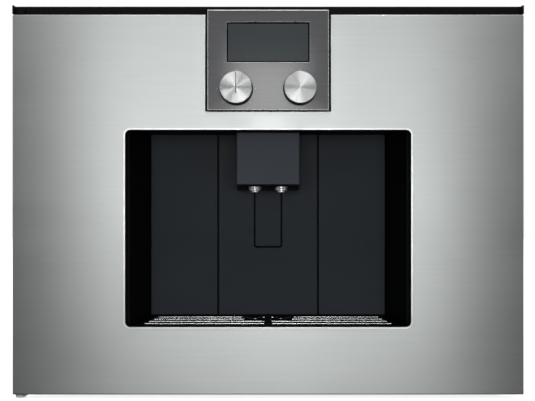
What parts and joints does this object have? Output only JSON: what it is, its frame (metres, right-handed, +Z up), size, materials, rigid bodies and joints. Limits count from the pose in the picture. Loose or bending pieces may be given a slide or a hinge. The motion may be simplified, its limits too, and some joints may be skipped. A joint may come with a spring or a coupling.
{
  "type": "built-in fully automatic coffee machine",
  "caption": "Built-in automatic coffee machine with a side-hinged steel door, a dark cup bay, a height-adjustable outlet, a drip tray and a raised control panel with rotary knobs.",
  "frame": {"origin": "middle of the bottom of the whole machine, on the plane that the feet stand on", "axes": "+Z up, -Y to the front that the user faces, +X to the user's right"},
  "size_m": [0.59, 0.403, 0.454],
  "materials": {
    "sheet_steel": "galvanised",
    "frame_black": "satin black powder coat",
    "rubber_black": "matt",
    "plastic_dark": "fine grain",
    "plastic_grey": "fine grain",
    "plastic_black_gloss": "gloss",
    "fascia_metal": "fine brushed, dark anodised",
    "display_dark": "tinted glass",
    "circuit_green": "solder mask",
    "encoder_steel": "plain",
    "knob_aluminium": "turned, satin",
    "pointer_black": "paint",
    "bay_anthracite": "satin",
    "steel_tube": "drawn",
    "door_steel": "fine brushed",
    "trim_polished": "polished",
    "nylon_white": "plain",
    "outlet_anthracite": "satin",
    "chrome": "polished",
    "float_red": "plain",
    "tank_clear": "clear",
    "hopper_smoke": "smoked",
    "burr_steel": "hardened",
    "motor_metal": "zinc plated",
    "brew_beige": "plain",
    "latch_red": "plain",
    "block_aluminium": "die cast",
    "hose_silicone": "plain"
  },
  "bodies": {
    "cabinet": {"base_pan": "sheet_steel", "feet": "rubber_black", "side_panel_left": "sheet_steel", "side_panel_right": "sheet_steel", "rear_panel": "sheet_steel", "top_cover": "sheet_steel", "front_frame": "frame_black", "partitions": "sheet_steel", "mid_deck": "sheet_steel", "unit_shelves": "sheet_steel", "tray_runners": "plastic_grey", "tank_platform": "plastic_grey", "hinge_brackets": "frame_black", "catch_magnet": "plastic_dark", "door_buffers": "rubber_black", "switch_housing": "plastic_dark", "control_housing": "plastic_dark", "control_fascia": "fascia_metal", "display_glass": "display_dark", "control_board": "circuit_green", "knob_encoders": "encoder_steel", "bay_liner": "plastic_black_gloss", "bay_panels_side": "bay_anthracite", "bay_panel_middle": "bay_anthracite", "feed_tubes": "steel_tube", "grinder_housing": "plastic_grey", "grinder_ring": "burr_steel", "grinder_motor": "motor_metal", "brew_drive": "plastic_grey", "water_pump": "motor_metal", "heater": "block_aluminium", "suction_hose": "hose_silicone", "mains_inlet": "plastic_dark", "power_board": "circuit_green"},
    "door": {"door_skin": "door_steel", "window_trim": "trim_polished", "door_liner": "plastic_dark", "hinge_bushes": "nylon_white", "strike_plate": "encoder_steel"},
    "outlet": {"outlet_cover": "outlet_anthracite", "outlet_body": "plastic_black_gloss", "coffee_spouts": "chrome"},
    "tray": {"drip_tray": "plastic_dark"},
    "grate": {"grate_carrier": "plastic_dark", "drip_grate": "steel_tube"},
    "float": {"tray_float": "float_red"},
    "grounds": {"grounds_container": "plastic_grey"},
    "tank": {"water_tank": "tank_clear"},
    "lid_of_tank": {"tank_lid": "plastic_dark"},
    "hopper": {"bean_container": "hopper_smoke"},
    "lid_of_hopper": {"bean_lid": "plastic_dark"},
    "dial_left": {"knob_left": "knob_aluminium", "knob_left_pointer": "pointer_black"},
    "dial_right": {"knob_right": "knob_aluminium"},
    "burr": {"grinder_cone": "burr_steel"},
    "brew_unit": {"brew_frame": "plastic_grey"},
    "brew_sled": {"brew_chamber": "brew_beige"},
    "press": {"brew_press": "burr_steel"},
    "latch": {"brew_latch": "latch_red"},
    "rocker": {"power_switch": "plastic_black_gloss"}
  },
  "joints": [
    {"name": "door_swing", "type": "hinge", "parent": "cabinet", "child": "door", "pos_m": [-0.287, -0.1725, 0.22425], "axis": [0, 0, -1], "range_deg": [0, 110]},
    {"name": "outlet_height", "type": "slide", "parent": "cabinet", "child": "outlet", "axis": [0, 0, -1], "range_m": [0, 0.085]},
    {"name": "tray_pull", "type": "slide", "parent": "cabinet", "child": "tray", "axis": [0, -1, 0], "range_m": [0, 0.11]},
    {"name": "grate_lift", "type": "slide", "parent": "tray", "child": "grate", "axis": [0, 0, 1], "range_m": [0, 0.03]},
    {"name": "float_rise", "type": "slide", "parent": "tray", "child": "float", "axis": [0, 0, 1], "range_m": [0, 0.012]},
    {"name": "tank_pull", "type": "slide", "parent": "cabinet", "child": "tank", "axis": [0, -1, 0], "range_m": [0, 0.13]},
    {"name": "tank_lid_swing", "type": "hinge", "parent": "tank", "child": "lid_of_tank", "pos_m": [0.216, -0.0105, 0.2123], "axis": [-1, 0, 0], "range_deg": [0, 35]},
    {"name": "grounds_pull", "type": "slide", "parent": "cabinet", "child": "grounds", "axis": [0, -1, 0], "range_m": [0, 0.084]},
    {"name": "brew_unit_pull", "type": "slide", "parent": "cabinet", "child": "brew_unit", "axis": [0, -1, 0], "range_m": [0, 0.084]},
    {"name": "brew_sled_run", "type": "slide", "parent": "brew_unit", "child": "brew_sled", "axis": [0, 1, 0], "range_m": [0, 0.052]},
    {"name": "press_stroke", "type": "slide", "parent": "brew_unit", "child": "press", "axis": [0, 0, -1], "range_m": [0, 0.024]},
    {"name": "latch_turn", "type": "hinge", "parent": "brew_unit", "child": "latch", "pos_m": [-0.206, -0.1545, 0.2016], "axis": [0, -1, 0], "range_deg": [0, 90]},
    {"name": "hopper_pull", "type": "slide", "parent": "cabinet", "child": "hopper", "axis": [0, -1, 0], "range_m": [0, 0.084]},
    {"name": "bean_lid_lift", "type": "slide", "parent": "hopper", "child": "lid_of_hopper", "axis": [0, 0, 1], "range_m": [0, 0.025]},
    {"name": "left_knob_turn", "type": "hinge", "parent": "cabinet", "child": "dial_left", "pos_m": [-0.0365, -0.1835, 0.3573], "axis": [0, -1, 0], "range_deg": [-150, 150]},
    {"name": "right_knob_turn", "type": "hinge", "parent": "cabinet", "child": "dial_right", "pos_m": [0.0365, -0.1835, 0.3573], "axis": [0, -1, 0], "continuous": true},
    {"name": "burr_spin", "type": "hinge", "parent": "cabinet", "child": "burr", "pos_m": [-0.206, -0.0685, 0.2646], "axis": [0, 0, 1], "continuous": true},
    {"name": "switch_rock", "type": "hinge", "parent": "cabinet", "child": "rocker", "pos_m": [-0.254, -0.1495, 0.3945], "axis": [1, 0, 0], "range_deg": [0, 12]}
  ],
  "couplings": [
    {"joint": "tray_pull", "follows": "door_swing", "m_per_rad": 0.057244},
    {"joint": "tank_pull", "follows": "door_swing", "m_per_rad": 0.067661},
    {"joint": "grounds_pull", "follows": "door_swing", "m_per_rad": 0.043701},
    {"joint": "brew_unit_pull", "follows": "door_swing", "m_per_rad": 0.043701},
    {"joint": "hopper_pull", "follows": "door_swing", "m_per_rad": 0.043701}
  ]
}
